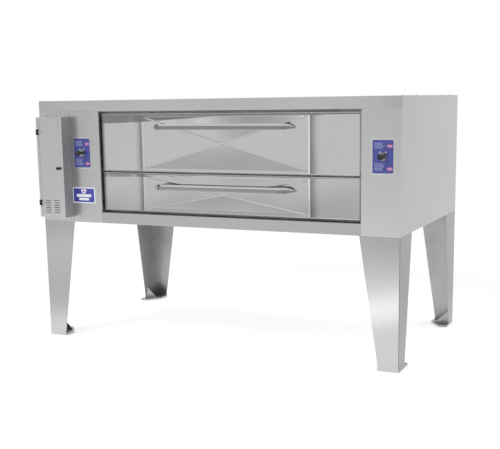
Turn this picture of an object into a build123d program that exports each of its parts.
"""Single-deck gas pizza oven on four flared legs, millimetres, +Z up, front towards -Y.

The origin is on the floor, at the centre of the whole object's box.
"""
import os

from build123d import *

# ---------------------------------------------------------------- driving dimensions
WIDTH = 1981.0  # casing, left to right
DEPTH = 1092.0  # casing, front to back
BODY_H = 635.0
LEG_H = 635.0
SHEET = 2.0  # folded sheet of the casing, doors and liners
LATCH_PROUD = 80.0  # foremost point, the cover latch, ahead of the casing
COLLAR_PROUD = 60.0  # flue collar behind the casing

LEFT, RIGHT = -WIDTH / 2, WIDTH / 2
FRONT = LATCH_PROUD - (LATCH_PROUD + DEPTH + COLLAR_PROUD) / 2
BACK = FRONT + DEPTH
FLOOR = LEG_H  # underside of the casing
ROOF = LEG_H + BODY_H

FASCIA_H = 57.0
SILL_H = 56.0
OPEN_L, OPEN_R = -616.0, 803.0  # door opening between the front panels
OPEN_TOP = ROOF - FASCIA_H
OPEN_BOT = FLOOR + SILL_H

DOOR_L, DOOR_R = -606.0, 793.0
DOOR_MID = (DOOR_L + DOOR_R) / 2
DOOR_T = 30.0
DOOR_RECESS = 13.0
UPPER_Z = (911.0, 1198.0)
LOWER_Z = (706.0, 898.0)
DOOR_FACE = FRONT + DOOR_RECESS
CROSS_HALF = 457.0  # half the distance between the two creases
CROSS_RISE = 4.0
HINGE_IN = 8.0  # hinge axis behind the door face, and above its lower edge
HINGE_Y = DOOR_FACE + HINGE_IN
PIN_R = 5.0
RUN_GAP = 0.05

FRAME_Y = FRONT + 48.0  # front of the frame round the two mouths
MOUTH_L, MOUTH_R = -590.0, 777.0
HEARTH_TOP = 945.0
HEARTH_T = 38.0
CEILING = 1150.0
CHAMBER_L, CHAMBER_R = -668.0, 856.0
CHAMBER_BACK = FRONT + 974.0
COMBUSTION_FLOOR = 684.0
DECK_UNDER = 880.0

HANDLE_DROP = 63.0  # bar centre below the door's top edge
HANDLE_H = 30.0
HANDLE_T = 14.0
HANDLE_OUT = 60.0
FOOT_HALF = 382.5
BAR_HALF = 281.5

BOX_L, BOX_R = -960.0, -798.0
BOX_Z = (664.0, 1187.0)
BOX_OUT = 72.0
BOX_FLANGE = 16.0
BOX_X = -879.0  # gas train centre line
TRAIN_Y = FRONT - 24.0
COVER_L = -943.0
COVER_D = 12.0
COVER_HINGE = (-951.0, FRONT - 75.4)
LATCH_AT = (-827.0, 922.0)

CONTROL_Z = 1000.0
DAMPER_X = (-725.0, 906.0)
DAMPER_ROD_R = 4.0
BADGE_AT = (-726.0, 778.0)

PIPE_R = 13.35  # 3/4 inch pipe
INLET_Z = 700.0
MANIFOLD_Y, MANIFOLD_Z = FRONT + 90.0, 735.0
BURNER_R = 19.0
PILOT_LINES = ((0.0, FRONT + 70.0), (16.0, FRONT + 64.0))  # lift of each line, and its depth
BURNERS = [DOOR_MID + step * 280.0 for step in (-2, -1, 0, 1, 2)]
FLUE_R = 76.0
FLUE_Z = 1050.0
FLUE_FLANGE = 3.0

LEG_TOP, LEG_FOOT = 195.0, 100.0  # flange width at the casing and at the floor
LEG_T = 3.0
FOOT_T = 10.0
LEG_PLATE = 150.0
FOOT_HOLE = 60.0  # foot hole's centre, from both outer faces of the leg

os.makedirs("parts", exist_ok=True)


def keep(piece, name):
    """Labels a finished piece and writes its STEP file."""
    piece.part.label = name
    export_step(piece.part, f"parts/{name}.step")


def block(x, y, z, mode=Mode.ADD):
    """A rectangular block between (low, high) pairs."""
    with Locations(((x[0] + x[1]) / 2, (y[0] + y[1]) / 2, (z[0] + z[1]) / 2)):
        Box(x[1] - x[0], y[1] - y[0], z[1] - z[0], mode=mode)


def rod(along, start, end, centre, radius, mode=Mode.ADD):
    """A cylinder along "x", "y" or "z" from start to end; centre is its other two coordinates."""
    turn = {"x": (0, 90, 0), "y": (90, 0, 0), "z": (0, 0, 0)}[along]
    place = list(centre)
    place.insert("xyz".index(along), (start + end) / 2)
    with Locations(tuple(place)):
        Cylinder(radius, end - start, rotation=turn, mode=mode)


# ---------------------------------------------------------------- base frame and legs
RAIL, RAIL_T = 40.0, 4.0
with BuildPart() as base_frame:
    # front and rear angle bars, then the two between them, butted and separate
    for face, inward in ((FRONT + 3, 1), (BACK - 3, -1)):
        foot = sorted((face, face + inward * RAIL))
        wall = sorted((face, face + inward * RAIL_T))
        block((LEFT + 5, RIGHT - 5), foot, (FLOOR, FLOOR + RAIL_T))
        block((LEFT + 5, RIGHT - 5), wall, (FLOOR, FLOOR + RAIL))
    for face, inward in ((LEFT + 5, 1), (RIGHT - 5, -1)):
        foot = sorted((face, face + inward * RAIL))
        wall = sorted((face, face + inward * RAIL_T))
        span = (FRONT + 3 + RAIL + 0.5, BACK - 3 - RAIL - 0.5)
        block(foot, span, (FLOOR, FLOOR + RAIL_T))
        block(wall, span, (FLOOR, FLOOR + RAIL))
    # bolt holes: two per leg in the long bars, one in the side bars
    BOLTS = []
    for corner_x, in_x in ((LEFT, 1), (RIGHT, -1)):
        for corner_y, in_y in ((FRONT, 1), (BACK, -1)):
            for along, across in ((70, 25), (125, 25), (27, 100)):
                BOLTS.append((corner_x + in_x * along, corner_y + in_y * across))
    for x, y in BOLTS:
        rod("z", FLOOR - 1, FLOOR + RAIL_T + 1, (x, y), 5.5, mode=Mode.SUBTRACT)
keep(base_frame, "base_frame")

CORNERS = {
    "leg_front_left": (LEFT, 1, FRONT, 1),
    "leg_front_right": (RIGHT, -1, FRONT, 1),
    "leg_rear_left": (LEFT, 1, BACK, -1),
    "leg_rear_right": (RIGHT, -1, BACK, -1),
}
for leg_name, (cx, ix, cy, iy) in CORNERS.items():
    with BuildPart() as leg:
        # two tapering flanges that meet at the outer corner
        with BuildSketch(Plane.XZ.offset(-cy)):
            with BuildLine():
                Polyline(
                    (cx, FOOT_T), (cx + ix * LEG_FOOT, FOOT_T), (cx + ix * LEG_TOP, FLOOR), (cx, FLOOR),
                    close=True,
                )
            make_face()
        extrude(amount=LEG_T, dir=(0, iy, 0))
        with BuildSketch(Plane.YZ.offset(cx)):
            with BuildLine():
                Polyline(
                    (cy, FOOT_T), (cy + iy * LEG_FOOT, FOOT_T), (cy + iy * LEG_TOP, FLOOR), (cy, FLOOR),
                    close=True,
                )
            make_face()
        extrude(amount=LEG_T, dir=(ix, 0, 0))
        fillet(leg.edges().filter_by(Axis.Z).sort_by_distance((cx, cy, LEG_H / 2))[0], LEG_T - 0.5)
        # plate under the base frame
        block(
            sorted((cx + ix * 2, cx + ix * LEG_PLATE)), sorted((cy + iy * 2, cy + iy * LEG_PLATE)),
            (FLOOR - 5, FLOOR),
        )
        # foot plate, wider than the flanges, and the gusset that stiffens it
        with BuildSketch(Plane.XY):
            with BuildLine():
                Polyline(
                    (cx, cy), (cx + ix * 104, cy), (cx + ix * 104, cy + iy * 70),
                    (cx + ix * 40, cy + iy * 155), (cx, cy + iy * 155), close=True,
                )
            make_face()
        extrude(amount=FOOT_T)
        with BuildSketch(Plane.XZ.offset(-(cy + iy * 92))):
            with BuildLine():
                Polyline((cx, FOOT_T), (cx + ix * 80, FOOT_T), (cx, FOOT_T + 75), close=True)
            make_face()
        extrude(amount=LEG_T, dir=(0, iy, 0))
        rod("z", -1, FOOT_T + 1, (cx + ix * FOOT_HOLE, cy + iy * FOOT_HOLE), 6.5, mode=Mode.SUBTRACT)
        for x, y in BOLTS:
            if abs(x - cx) < LEG_PLATE and abs(y - cy) < LEG_PLATE:
                rod("z", FLOOR - 6, FLOOR + 1, (x, y), 5.5, mode=Mode.SUBTRACT)
    keep(leg, leg_name)

with BuildPart() as leg_bolts:
    for x, y in BOLTS:
        rod("z", FLOOR - 5, FLOOR + RAIL_T, (x, y), 5.4)
        for low, high in ((FLOOR - 12, FLOOR - 5), (FLOOR + RAIL_T, FLOOR + RAIL_T + 8)):
            with BuildSketch(Plane.XY.offset(low)):
                with Locations((x, y)):
                    RegularPolygon(9.0, 6)
            extrude(amount=high - low)
keep(leg_bolts, "leg_bolts")

# ---------------------------------------------------------------- casing
with BuildPart() as bottom_pan:
    block((LEFT + 10, RIGHT - 10), (FRONT + 8, BACK - 8), (FLOOR + RAIL_T + 8, FLOOR + RAIL_T + 10))
    # folded feet that stand on the long bars, clear of the bolts
    for y in (FRONT + 8, BACK - 8 - SHEET):
        block((LEFT + 180, RIGHT - 180), (y, y + SHEET), (FLOOR + RAIL_T, FLOOR + RAIL_T + 10))
keep(bottom_pan, "bottom_pan")

with BuildPart() as top_panel:
    block((LEFT, RIGHT), (FRONT + SHEET, BACK), (ROOF - SHEET, ROOF))
keep(top_panel, "top_panel")

for side_name, face, inward in (("left_side_panel", LEFT, 1), ("right_side_panel", RIGHT, -1)):
    with BuildPart() as side_panel:
        wall = sorted((face, face + inward * SHEET))
        lip = sorted((face, face + inward * 20))
        block(wall, (FRONT + SHEET, BACK - SHEET), (FLOOR, ROOF - SHEET))
        block(lip, (FRONT + SHEET, FRONT + 2 * SHEET - 0.5), (FLOOR + RAIL + 5, OPEN_TOP - 5))
        block(lip, (BACK - 2 * SHEET + 0.5, BACK - SHEET), (FLOOR + RAIL + 5, OPEN_TOP - 5))
    keep(side_panel, side_name)

with BuildPart() as back_panel:
    block((LEFT, RIGHT), (BACK - SHEET, BACK), (FLOOR, ROOF - SHEET))
    rod("y", BACK - 5, BACK + 1, (BOX_X, INLET_Z), PIPE_R + 3, mode=Mode.SUBTRACT)
    rod("y", BACK - 5, BACK + 1, (DOOR_MID, FLUE_Z), FLUE_R + 0.5, mode=Mode.SUBTRACT)
    # two groups of cooling slots
    with BuildSketch(Plane.XZ.offset(-BACK - 1)):
        for x in (-650.0, 650.0):
            with Locations((x, 800.0)):
                with GridLocations(160, 16, 2, 8):
                    SlotOverall(130, 6)
    extrude(amount=SHEET + 3, mode=Mode.SUBTRACT)
keep(back_panel, "back_panel")

with BuildPart() as top_fascia:
    block((LEFT, RIGHT), (FRONT, FRONT + SHEET), (OPEN_TOP, ROOF))
    block((LEFT + 3, RIGHT - 3), (FRONT + SHEET, FRONT + 22), (ROOF - 2 * SHEET, ROOF - SHEET))
    block((-700, 885), (FRONT + SHEET, FRAME_Y), (OPEN_TOP, OPEN_TOP + SHEET))
keep(top_fascia, "top_fascia")

with BuildPart() as front_sill:
    block((OPEN_L, OPEN_R), (FRONT, FRONT + SHEET), (FLOOR, OPEN_BOT))
    block((OPEN_L, OPEN_R), (FRONT + SHEET, FRAME_Y), (OPEN_BOT - SHEET, OPEN_BOT))
keep(front_sill, "front_sill")

FRONT_PANELS = (
    ("left_front_panel", (LEFT, OPEN_L), (OPEN_L - SHEET, OPEN_L), DAMPER_X[0]),
    ("right_front_panel", (OPEN_R, RIGHT), (OPEN_R, OPEN_R + SHEET), DAMPER_X[1]),
)
for panel_name, span, jamb, knob_x in FRONT_PANELS:
    with BuildPart() as front_panel:
        block(span, (FRONT, FRONT + SHEET), (FLOOR, OPEN_TOP))
        block(jamb, (FRONT, FRAME_Y), (OPEN_BOT, OPEN_TOP))
        rod("y", FRONT - 1, FRONT + 3, (knob_x, CONTROL_Z), 13.0, mode=Mode.SUBTRACT)
        for low, _ in (UPPER_Z, LOWER_Z):
            rod("x", jamb[0] - 1, jamb[1] + 1, (HINGE_Y, low + HINGE_IN), PIN_R + 2, mode=Mode.SUBTRACT)
        if knob_x < 0:
            # holes for the gas pipes, the pilot lines and the thermostat's capillary
            for z in (INLET_Z, 1050.0):
                rod("y", FRONT - 1, FRONT + 3, (BOX_X, z), PIPE_R + 3, mode=Mode.SUBTRACT)
            for x, z in ((-830.0, 868.0), (-830.0, 884.0), (-815.0, 1000.0)):
                rod("y", FRONT - 1, FRONT + 3, (x, z), 6.0, mode=Mode.SUBTRACT)
    keep(front_panel, panel_name)

with BuildPart() as mouth_frame:
    # header, jambs, deck bar and lower bar, each a separate strip welded to its neighbours
    strip = (FRAME_Y, FRAME_Y + 3)
    block((CHAMBER_L, CHAMBER_R), strip, (CEILING, OPEN_TOP - 1))
    block((CHAMBER_L, MOUTH_L), strip, (OPEN_BOT + 1, CEILING - 0.5))
    block((MOUTH_R, CHAMBER_R), strip, (OPEN_BOT + 1, CEILING - 0.5))
    block((MOUTH_L + 0.5, MOUTH_R - 0.5), strip, (DECK_UNDER, HEARTH_TOP - HEARTH_T))
    block((MOUTH_L + 0.5, MOUTH_R - 0.5), strip, (OPEN_BOT + 1, OPEN_BOT + 20))
keep(mouth_frame, "mouth_frame")

# ---------------------------------------------------------------- chambers and hearth
WALL_Y = (FRAME_Y + 3.5, CHAMBER_BACK)
with BuildPart() as bake_chamber_liner:
    for wall_x in ((CHAMBER_L - SHEET, CHAMBER_L), (CHAMBER_R, CHAMBER_R + SHEET)):
        block(wall_x, WALL_Y, (DECK_UNDER + 2, CEILING))
        # side flue slot that the damper closes
        block(
            (wall_x[0] - 1, wall_x[1] + 1), (FRONT + 320, FRONT + 400), (HEARTH_TOP + 10, 1055),
            mode=Mode.SUBTRACT,
        )
    rod(
        "x", CHAMBER_L - 3, CHAMBER_L + 1, (FRONT + 150, 1120), 4.0, mode=Mode.SUBTRACT,
    )
    block((CHAMBER_L, CHAMBER_R), WALL_Y, (CEILING + 0.2, CEILING + 0.2 + SHEET))
    block(
        (CHAMBER_L, CHAMBER_R), (CHAMBER_BACK + 0.2, CHAMBER_BACK + 0.2 + SHEET), (DECK_UNDER + 2, CEILING),
    )
    rod(
        "y", CHAMBER_BACK - 1, CHAMBER_BACK + 4, (DOOR_MID, FLUE_Z), FLUE_R - SHEET, mode=Mode.SUBTRACT,
    )
keep(bake_chamber_liner, "bake_chamber_liner")

STONE_W = 495.0
with BuildPart() as hearth_stones:
    for step in (-1, 0, 1):
        middle = DOOR_MID + step * (STONE_W + 1)
        block(
            (middle - STONE_W / 2, middle + STONE_W / 2), (FRONT + 55, FRONT + 962),
            (HEARTH_TOP - HEARTH_T, HEARTH_TOP),
        )
    chamfer(hearth_stones.edges().group_by(Axis.Z)[-1], 1.5)
keep(hearth_stones, "hearth_stones")

with BuildPart() as hearth_rails:
    # bearers front to back, under the stone joints and the outer edges
    for x in [DOOR_MID + step * (STONE_W + 1) for step in (-1.5, -0.5, 0.5, 1.5)]:
        block((x - 16, x + 16), (FRONT + 55, CHAMBER_BACK - 1), (HEARTH_TOP - HEARTH_T - 4, HEARTH_TOP - HEARTH_T))
        block((x - 2, x + 2), (FRONT + 55, CHAMBER_BACK - 1), (DECK_UNDER + 4, HEARTH_TOP - HEARTH_T - 4))
keep(hearth_rails, "hearth_rails")

with BuildPart() as combustion_liner:
    for wall_x in ((CHAMBER_L - SHEET, CHAMBER_L), (CHAMBER_R, CHAMBER_R + SHEET)):
        block(wall_x, WALL_Y, (COMBUSTION_FLOOR, DECK_UNDER))
    rod(
        "x", CHAMBER_L - 3, CHAMBER_L + 1, (MANIFOLD_Y, MANIFOLD_Z), PIPE_R + 2, mode=Mode.SUBTRACT,
    )
    for lift, y in PILOT_LINES:
        rod("x", CHAMBER_L - 3, CHAMBER_L + 1, (y, 775 + lift), 4.0, mode=Mode.SUBTRACT)
    block((CHAMBER_L + 0.2, CHAMBER_R - 0.2), WALL_Y, (COMBUSTION_FLOOR, COMBUSTION_FLOOR + SHEET))
    block(
        (CHAMBER_L, CHAMBER_R), (CHAMBER_BACK + 0.2, CHAMBER_BACK + 0.2 + SHEET),
        (COMBUSTION_FLOOR, DECK_UNDER),
    )
keep(combustion_liner, "combustion_liner")

with BuildPart() as heat_deflector:
    block((-610, 797), (FRONT + 130, FRONT + 940), (850, 853))
    for x in (-610.0, 794.0):
        # hanger strips down from the outer bearers
        block((x, x + 3), (FRONT + 130, FRONT + 940), (853, DECK_UNDER + 4))
keep(heat_deflector, "heat_deflector")

with BuildPart() as insulation:
    # blankets: top, left, right and back, all clear of the dampers and pipes
    block((LEFT + 30, RIGHT - 30), (FRONT + 60, BACK - 30), (CEILING + 10, ROOF - 10))
    block((LEFT + 30, -940), (FRONT + 60, BACK - 30), (FLOOR + 60, CEILING))
    block((935, RIGHT - 30), (FRONT + 60, BACK - 30), (FLOOR + 60, CEILING))
    block((CHAMBER_L, CHAMBER_R), (CHAMBER_BACK + 10, BACK - 30), (FLOOR + 60, CEILING))
    rod("y", CHAMBER_BACK, BACK, (DOOR_MID, FLUE_Z), FLUE_R + 1, mode=Mode.SUBTRACT)
keep(insulation, "insulation")

with BuildPart() as flue_duct:
    rod("y", CHAMBER_BACK + 0.2 + SHEET, BACK + COLLAR_PROUD, (DOOR_MID, FLUE_Z), FLUE_R)
    rod("y", BACK, BACK + FLUE_FLANGE, (DOOR_MID, FLUE_Z), FLUE_R + 16)
    rod(
        "y", CHAMBER_BACK, BACK + COLLAR_PROUD + 1, (DOOR_MID, FLUE_Z), FLUE_R - SHEET,
        mode=Mode.SUBTRACT,
    )
keep(flue_duct, "flue_duct")

# ---------------------------------------------------------------- burners and gas
with BuildPart() as burners:
    for x in BURNERS:
        rod("y", FRONT + 150, FRONT + 935, (x, MANIFOLD_Z), BURNER_R)
        # flared mixer mouth
        with Locations((x, FRONT + 139, MANIFOLD_Z)):
            Cone(BURNER_R + 8, BURNER_R, 22, rotation=(-90, 0, 0))
        rod("y", FRONT + 127, FRONT + 931, (x, MANIFOLD_Z), BURNER_R - SHEET, mode=Mode.SUBTRACT)
keep(burners, "burners")

with BuildPart() as burner_orifices:
    for x in BURNERS:
        rod("y", MANIFOLD_Y + PIPE_R - 0.4, MANIFOLD_Y + PIPE_R + 18, (x, MANIFOLD_Z), 7.0)
        rod("y", MANIFOLD_Y, MANIFOLD_Y + PIPE_R + 19, (x, MANIFOLD_Z), 1.2, mode=Mode.SUBTRACT)
        rod("x", x - 20, x + 20, (MANIFOLD_Y, MANIFOLD_Z), PIPE_R, mode=Mode.SUBTRACT)
keep(burner_orifices, "burner_orifices")

COCK_Z = (745.0, 800.0)
VALVE_Z = (835.0, 905.0)
STAT_Z = (950.0, 1020.0)
RISER_Z = 1050.0
ELBOW_R = PIPE_R + 2
INLET_STUB = 45.0
LOCK_NUT = 6.0
with BuildPart() as gas_inlet_pipe:
    # in from the back, past its lock nut, and up into the gas cock
    rod("y", TRAIN_Y, BACK + INLET_STUB, (BOX_X, INLET_Z), PIPE_R)
    rod("y", BACK, BACK + LOCK_NUT, (BOX_X, INLET_Z), PIPE_R + 9)
    rod("z", INLET_Z, COCK_Z[0], (BOX_X, TRAIN_Y), PIPE_R)
    with Locations((BOX_X, TRAIN_Y, INLET_Z)):
        Sphere(ELBOW_R)
keep(gas_inlet_pipe, "gas_inlet_pipe")

with BuildPart() as gas_riser_pipe:
    # nipples between the fittings
    rod("z", COCK_Z[1], VALVE_Z[0], (BOX_X, TRAIN_Y), PIPE_R)
    rod("z", VALVE_Z[1], STAT_Z[0], (BOX_X, TRAIN_Y), PIPE_R)
    # up from the thermostat, back through the front panel and down to the manifold
    rod("z", STAT_Z[1], RISER_Z, (BOX_X, TRAIN_Y), PIPE_R)
    rod("y", TRAIN_Y, MANIFOLD_Y, (BOX_X, RISER_Z), PIPE_R)
    rod("z", MANIFOLD_Z, RISER_Z, (BOX_X, MANIFOLD_Y), PIPE_R)
    rod("x", BOX_X, BOX_X + 20, (MANIFOLD_Y, MANIFOLD_Z), PIPE_R)
    for elbow in (
        (BOX_X, TRAIN_Y, RISER_Z), (BOX_X, MANIFOLD_Y, RISER_Z), (BOX_X, MANIFOLD_Y, MANIFOLD_Z),
    ):
        with Locations(elbow):
            Sphere(ELBOW_R)
keep(gas_riser_pipe, "gas_riser_pipe")

with BuildPart() as gas_manifold:
    # one long pipe across the burner mouths, with a cap at its far end
    rod("x", BOX_X + 20, 715, (MANIFOLD_Y, MANIFOLD_Z), PIPE_R)
    rod("x", 700, 715, (MANIFOLD_Y, MANIFOLD_Z), PIPE_R + 3)
keep(gas_manifold, "gas_manifold")

with BuildPart() as gas_cock_body:
    rod("z", COCK_Z[0], COCK_Z[1], (BOX_X, TRAIN_Y), 19.0)
    rod("y", TRAIN_Y - 26, TRAIN_Y, (BOX_X, 772.0), 12.0)
keep(gas_cock_body, "gas_cock_body")

COCK_AXIS_Z = 772.0
with BuildPart() as gas_cock_lever:
    # flat lever on the cock's nose, in line with the pipe when open
    lever_y = (TRAIN_Y - 33, TRAIN_Y - 26)
    rod("y", lever_y[0], lever_y[1], (BOX_X, COCK_AXIS_Z), 11.0)
    block((BOX_X - 6, BOX_X + 6), lever_y, (COCK_AXIS_Z, COCK_AXIS_Z + 42))
    rod("y", lever_y[0], lever_y[1], (BOX_X, COCK_AXIS_Z + 42), 6.0)
keep(gas_cock_lever, "gas_cock_lever")

BUTTON_Z = 870.0
with BuildPart() as safety_valve:
    block((BOX_X - 28, BOX_X + 28), (FRONT - 46, FRONT - 2), VALVE_Z)
    rod("y", FRONT - 54, FRONT - 46, (BOX_X, BUTTON_Z), 11.0)
    # guide bore for the reset button
    rod("y", FRONT - 55, FRONT - 30, (BOX_X, BUTTON_Z), 7.0 + RUN_GAP, mode=Mode.SUBTRACT)
keep(safety_valve, "safety_valve")

with BuildPart() as reset_button:
    rod("y", FRONT - 64, FRONT - 37, (BOX_X, BUTTON_Z), 7.0)
    chamfer(reset_button.edges().filter_by(GeomType.CIRCLE).sort_by(Axis.Y)[0], 1.0)
keep(reset_button, "reset_button")

STAT_MID = (STAT_Z[0] + STAT_Z[1]) / 2
with BuildPart() as thermostat_body:
    block((BOX_X - 32, BOX_X + 32), (FRONT - 42, FRONT - 2), STAT_Z)
    rod("y", FRONT - 47, FRONT - 42, (BOX_X, STAT_MID), 16.0)
    rod("y", FRONT - 48, FRONT - 40, (BOX_X, STAT_MID), 4.0 + RUN_GAP, mode=Mode.SUBTRACT)
keep(thermostat_body, "thermostat_body")

with BuildPart() as thermostat_knob:
    rod("y", FRONT - 51, FRONT - 47.5, (BOX_X, STAT_MID), 27.0)
    rod("y", FRONT - 66, FRONT - 51, (BOX_X, STAT_MID), 20.0)
    chamfer(thermostat_knob.edges().filter_by(GeomType.CIRCLE).sort_by(Axis.Y)[0], 2.0)
    # finger grooves round the grip
    with BuildSketch(Plane.XZ.offset(-(FRONT - 52))):
        with Locations((BOX_X, STAT_MID)):
            with PolarLocations(21.5, 12):
                Circle(2.6)
    extrude(amount=20, mode=Mode.SUBTRACT)
    rod("y", FRONT - 48, FRONT - 41, (BOX_X, STAT_MID), 4.0)
keep(thermostat_knob, "thermostat_knob")

with BuildPart() as thermostat_bulb:
    # capillary from the thermostat to a bulb clipped along the chamber's left wall
    with BuildLine() as capillary:
        FilletPolyline(
            (BOX_X + 32, FRONT - 20, 1000), (-815, FRONT - 20, 1000), (-815, FRONT + 150, 1000),
            (-815, FRONT + 150, 1120), (-650, FRONT + 150, 1120), (-650, FRONT + 200, 1120),
            radius=[14, 40, 50, 10],
        )
    with BuildSketch(Plane(origin=capillary.line @ 0, z_dir=capillary.line % 0)):
        Circle(1.5)
    sweep()
    rod("y", FRONT + 200, FRONT + 420, (-650, 1120), 4.8)
keep(thermostat_bulb, "thermostat_bulb")

with BuildPart() as pilot_assembly:
    # pilot tube and thermocouple side by side, from the safety valve to the pilot bracket
    for lift, y in PILOT_LINES:
        with BuildLine() as line:
            FilletPolyline(
                (BOX_X + 28, FRONT - 20, 868 + lift), (-830, FRONT - 20, 868 + lift),
                (-830, y, 868 + lift), (-830, y, 775 + lift),
                (-540, y, 775 + lift), (-540, FRONT + 150, 775 + lift),
                radius=[9, 20, 20, 20],
            )
        with BuildSketch(Plane(origin=line.line @ 0, z_dir=line.line % 0)):
            Circle(2.4)
        sweep()
    block((-550, -530), (FRONT + 150, FRONT + 180), (768, 800))
    rod("z", 800, 812, (-540, FRONT + 165), 5.0)
keep(pilot_assembly, "pilot_assembly")

# ---------------------------------------------------------------- control box
TRAY_OUT = FRONT - (BOX_OUT - COVER_D)
with BuildPart() as control_box_tray:
    # flange plate on the front panel, then the four walls
    block((BOX_L, BOX_R), (FRONT - SHEET, FRONT), (BOX_Z[0] - BOX_FLANGE, BOX_Z[1] + BOX_FLANGE))
    block((BOX_R - SHEET, BOX_R), (TRAY_OUT, FRONT), BOX_Z)
    for low in (BOX_Z[0], BOX_Z[1] - SHEET):
        block((BOX_L, BOX_R), (TRAY_OUT, FRONT), (low, low + SHEET))
    # the hinge stile stands as far out as the cover
    block((BOX_L, BOX_L + SHEET), (FRONT - BOX_OUT, FRONT), BOX_Z)
    block((BOX_L, COVER_L - 1), (FRONT - BOX_OUT, FRONT - BOX_OUT + SHEET), BOX_Z)
    block((COVER_L - 1 - SHEET, COVER_L - 1), (FRONT - BOX_OUT, TRAY_OUT), BOX_Z)
    for low in (BOX_Z[0], BOX_Z[1] - SHEET):
        block((BOX_L, COVER_L - 1), (FRONT - BOX_OUT, TRAY_OUT), (low, low + SHEET))
    # holes that match the front panel's
    for z in (INLET_Z, RISER_Z):
        rod("y", FRONT - 3, FRONT + 1, (BOX_X, z), PIPE_R + 3, mode=Mode.SUBTRACT)
    for x, z in ((-830.0, 868.0), (-830.0, 884.0), (-815.0, 1000.0)):
        rod("y", FRONT - 3, FRONT + 1, (x, z), 6.0, mode=Mode.SUBTRACT)
keep(control_box_tray, "control_box_tray")

KNUCKLE_R = 3.0
HINGE_PIN_R = 1.5
KNUCKLE_H = 28.0
KNUCKLES = (1110.0, 740.0)
with BuildPart() as cover_hinges:
    # lower and upper thirds of each knuckle, the leaf on the stile and the pin
    hx, hy = COVER_HINGE
    for z in KNUCKLES:
        for low, high in ((z - 14, z - 5), (z + 5, z + 14)):
            rod("z", low, high, (hx, hy), KNUCKLE_R)
            block((BOX_L + 1, hx), (FRONT - BOX_OUT - 2.5, FRONT - BOX_OUT), (low, high))
        rod("z", z - 14, z + 14, (hx, hy), HINGE_PIN_R)
keep(cover_hinges, "cover_hinges")

with BuildPart() as control_cover:
    face = (FRONT - BOX_OUT, FRONT - BOX_OUT + SHEET)
    block((COVER_L, BOX_R), face, BOX_Z)
    for x in ((COVER_L, COVER_L + SHEET), (BOX_R - SHEET, BOX_R)):
        block(x, (FRONT - BOX_OUT, TRAY_OUT - 0.4), BOX_Z)
    for low in (BOX_Z[0], BOX_Z[1] - SHEET):
        block((COVER_L, BOX_R), (FRONT - BOX_OUT, TRAY_OUT - 0.4), (low, low + SHEET))
    # louvres: two columns of six pressed slots
    with BuildSketch(Plane.XZ.offset(-(FRONT - BOX_OUT - 1))):
        for x in (-904.5, -850.0):
            with Locations((x, 721.5)):
                with GridLocations(1, 12.5, 1, 6):
                    Rectangle(35, 4)
    extrude(amount=-5, mode=Mode.SUBTRACT)
    rod("y", FRONT - BOX_OUT - 1, FRONT - BOX_OUT + 3, LATCH_AT, 5.0, mode=Mode.SUBTRACT)
    # middle third of each hinge knuckle, with its leaf
    for z in KNUCKLES:
        rod("z", z - 4.6, z + 4.6, (hx, hy), KNUCKLE_R)
        block((hx, COVER_L + 14), (FRONT - BOX_OUT - 2.9, FRONT - BOX_OUT - 0.4), (z - 4.6, z + 4.6))
        block((COVER_L, COVER_L + 14), (FRONT - BOX_OUT - 0.4, FRONT - BOX_OUT), (z - 4.6, z + 4.6))
        rod("z", z - 5, z + 5, (hx, hy), HINGE_PIN_R + RUN_GAP, mode=Mode.SUBTRACT)
    # raised blank plate near the top
    block((-929, -821), (FRONT - BOX_OUT - 1.2, FRONT - BOX_OUT), (1132, 1179))
keep(control_cover, "control_cover")

with BuildPart() as cover_latch:
    with BuildSketch(Plane.XZ.offset(-(FRONT - BOX_OUT - 0.4))):
        with Locations(LATCH_AT):
            SlotOverall(27, 14)
    extrude(amount=LATCH_PROUD - BOX_OUT - 0.4)
    rod("y", FRONT - BOX_OUT - 0.4, FRONT - BOX_OUT + 8, LATCH_AT, 4.9)
    block(
        (LATCH_AT[0] - 6, BOX_R - SHEET - 1.5), (FRONT - BOX_OUT + 4, FRONT - BOX_OUT + 6),
        (LATCH_AT[1] - 6, LATCH_AT[1] + 6),
    )
keep(cover_latch, "cover_latch")

# ---------------------------------------------------------------- control plates and dampers
PLATE = (110.0, 165.0)
LABEL = (98.0, 150.0)
with BuildPart() as control_plates:
    for x in DAMPER_X:
        with BuildSketch(Plane.XZ.offset(-FRONT)):
            with Locations((x, CONTROL_Z)):
                RectangleRounded(PLATE[0], PLATE[1], 5)
                Circle(12.5, mode=Mode.SUBTRACT)
        extrude(amount=SHEET)
keep(control_plates, "control_plates")

with BuildPart() as control_labels:
    for x in DAMPER_X:
        with BuildSketch(Plane.XZ.offset(-(FRONT - SHEET))):
            with Locations((x, CONTROL_Z)):
                RectangleRounded(LABEL[0], LABEL[1], 6)
                Circle(12.5, mode=Mode.SUBTRACT)
        extrude(amount=0.8)
keep(control_labels, "control_labels")

BEZEL_Y = FRONT - SHEET - 0.8
with BuildPart() as damper_bezels:
    for x in DAMPER_X:
        rod("y", BEZEL_Y - 4, BEZEL_Y, (x, CONTROL_Z), 19.0)
        rod("y", BEZEL_Y, FRONT + 6, (x, CONTROL_Z), 12.0)
        rod(
            "y", BEZEL_Y - 5, FRONT + 7, (x, CONTROL_Z), DAMPER_ROD_R + RUN_GAP, mode=Mode.SUBTRACT,
        )
keep(damper_bezels, "damper_bezels")

with BuildPart() as badge_plate:
    with BuildSketch(Plane.XZ.offset(-FRONT)):
        with Locations(BADGE_AT):
            RectangleRounded(142, 83, 6)
    extrude(amount=SHEET)
keep(badge_plate, "badge_plate")

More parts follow.
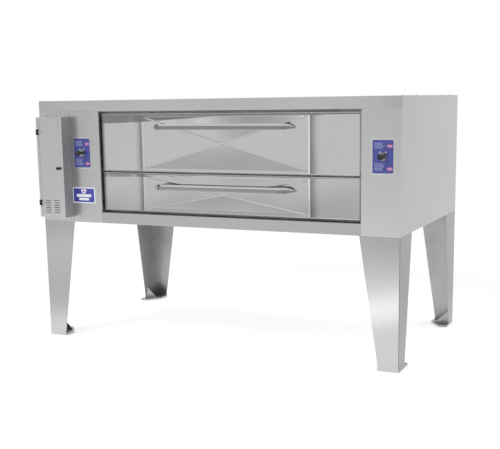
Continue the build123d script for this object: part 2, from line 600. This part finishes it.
KNOB_Y = FRONT - 45.0
for damper_name, x, plate_x in (
    ("left_damper", DAMPER_X[0], (CHAMBER_L - 8, CHAMBER_L - 5)),
    ("right_damper", DAMPER_X[1], (CHAMBER_R + 5, CHAMBER_R + 8)),
):
    with BuildPart() as damper_knob:
        rod("y", KNOB_Y, KNOB_Y + 16, (x, CONTROL_Z), 14.0)
        fillet(damper_knob.edges().filter_by(GeomType.CIRCLE), 3.0)
        rod("y", KNOB_Y + 15, BEZEL_Y - 5, (x, CONTROL_Z), 8.0)
        rod("y", KNOB_Y + 8, BEZEL_Y - 4, (x, CONTROL_Z), DAMPER_ROD_R, mode=Mode.SUBTRACT)
    keep(damper_knob, damper_name + "_knob")
    with BuildPart() as damper_rod:
        rod("y", KNOB_Y + 8, FRONT + 415, (x, CONTROL_Z), DAMPER_ROD_R)
        arm = sorted((x, plate_x[0] if x < 0 else plate_x[1]))
        block(arm, (FRONT + 405, FRONT + 415), (CONTROL_Z - 5, CONTROL_Z + 5))
        block(plate_x, (FRONT + 305, FRONT + 415), (HEARTH_TOP, 1065))
    keep(damper_rod, damper_name + "_rod")

# ---------------------------------------------------------------- doors
HINGE_BLOCK = 20.0
BOLT_R = 6.0
with BuildPart() as door_hinge_bearings:
    for low, _ in (UPPER_Z, LOWER_Z):
        for span in ((OPEN_L - SHEET - 22, OPEN_L - SHEET), (OPEN_R + SHEET, OPEN_R + SHEET + 22)):
            block(span, (HINGE_Y - 12, HINGE_Y + 12), (low + HINGE_IN - 12, low + HINGE_IN + 12))
            rod(
                "x", span[0] - 1, span[1] + 1, (HINGE_Y, low + HINGE_IN), PIN_R + RUN_GAP,
                mode=Mode.SUBTRACT,
            )
keep(door_hinge_bearings, "door_hinge_bearings")

for door_name, (low, high) in (("upper_door", UPPER_Z), ("lower_door", LOWER_Z)):
    middle_z = (low + high) / 2
    back_y = DOOR_FACE + DOOR_T
    axis = (HINGE_Y, low + HINGE_IN)

    with BuildPart() as skin:
        # folded pan, open at the back, with the shallow pyramid of the cross-break on its face
        block((DOOR_L, DOOR_R), (DOOR_FACE, back_y - SHEET), (low, high))
        block(
            (DOOR_L + SHEET, DOOR_R - SHEET), (DOOR_FACE + SHEET, back_y), (low + SHEET, high - SHEET),
            mode=Mode.SUBTRACT,
        )
        with BuildSketch(Plane.XZ.offset(-DOOR_FACE)):
            with Locations((DOOR_MID, middle_z)):
                Rectangle(2 * CROSS_HALF, high - low - 26)
        with BuildSketch(Plane.XZ.offset(-(DOOR_FACE - CROSS_RISE))):
            with Locations((DOOR_MID, middle_z)):
                Rectangle(6, 2)
        loft()
        for side in (DOOR_L - 1, DOOR_R - SHEET - 1):
            rod("x", side, side + SHEET + 2, axis, PIN_R, mode=Mode.SUBTRACT)
        for x in (DOOR_MID - FOOT_HALF, DOOR_MID + FOOT_HALF):
            rod("y", DOOR_FACE - 5, DOOR_FACE + 3, (x, high - HANDLE_DROP), BOLT_R, mode=Mode.SUBTRACT)
    keep(skin, door_name + "_skin")

    with BuildPart() as liner:
        block((DOOR_L, DOOR_R), (back_y - SHEET, back_y), (low, high))
    keep(liner, door_name + "_liner")

    with BuildPart() as blanket:
        block((DOOR_L + 3, DOOR_R - 3), (DOOR_FACE + 3, back_y - SHEET - 1), (low + 3, high - 3))
        for span in ((DOOR_L, DOOR_L + HINGE_BLOCK + 6), (DOOR_R - HINGE_BLOCK - 6, DOOR_R)):
            block(span, (DOOR_FACE, back_y), (low, low + 30), mode=Mode.SUBTRACT)
    keep(blanket, door_name + "_insulation")

    with BuildPart() as pins:
        # each pin is welded to a block in the door's lower corner
        for face, out in ((DOOR_L, -1), (DOOR_R, 1)):
            tip = OPEN_L - SHEET - 21 if out < 0 else OPEN_R + SHEET + 21
            inner = sorted((face - out * SHEET, face - out * (SHEET + HINGE_BLOCK)))
            block(inner, (DOOR_FACE + SHEET, back_y - SHEET), (low + SHEET, low + SHEET + 22))
            rod("x", min(tip, inner[1] if out < 0 else inner[0]), max(tip, inner[0]), axis, PIN_R)
    keep(pins, door_name + "_hinge_pins")

    bar_z = high - HANDLE_DROP
    with BuildPart() as handle:
        # formed bar: two feet flat on the door, sloping ends and a straight grip
        outer = DOOR_FACE - HANDLE_OUT
        half_foot = FOOT_HALF + 18
        seat = DOOR_FACE - CROSS_RISE
        with BuildSketch(Plane.XY.offset(bar_z - HANDLE_H / 2)):
            with BuildLine():
                Polyline(
                    (DOOR_MID - half_foot, seat), (DOOR_MID - half_foot, seat - 4),
                    (DOOR_MID - FOOT_HALF, seat - 4), (DOOR_MID - BAR_HALF - 4, outer),
                    (DOOR_MID + BAR_HALF + 4, outer), (DOOR_MID + FOOT_HALF, seat - 4),
                    (DOOR_MID + half_foot, seat - 4), (DOOR_MID + half_foot, seat),
                    (DOOR_MID + FOOT_HALF - 18, seat), (DOOR_MID + BAR_HALF - 8, outer + HANDLE_T),
                    (DOOR_MID - BAR_HALF + 8, outer + HANDLE_T), (DOOR_MID - FOOT_HALF + 18, seat),
                    close=True,
                )
            make_face()
        extrude(amount=HANDLE_H)
        # bolts from the handle's feet into the door
        for x in (DOOR_MID - FOOT_HALF, DOOR_MID + FOOT_HALF):
            rod("y", seat - 1, DOOR_FACE + SHEET + 0.5, (x, bar_z), BOLT_R)
    keep(handle, door_name + "_handle")
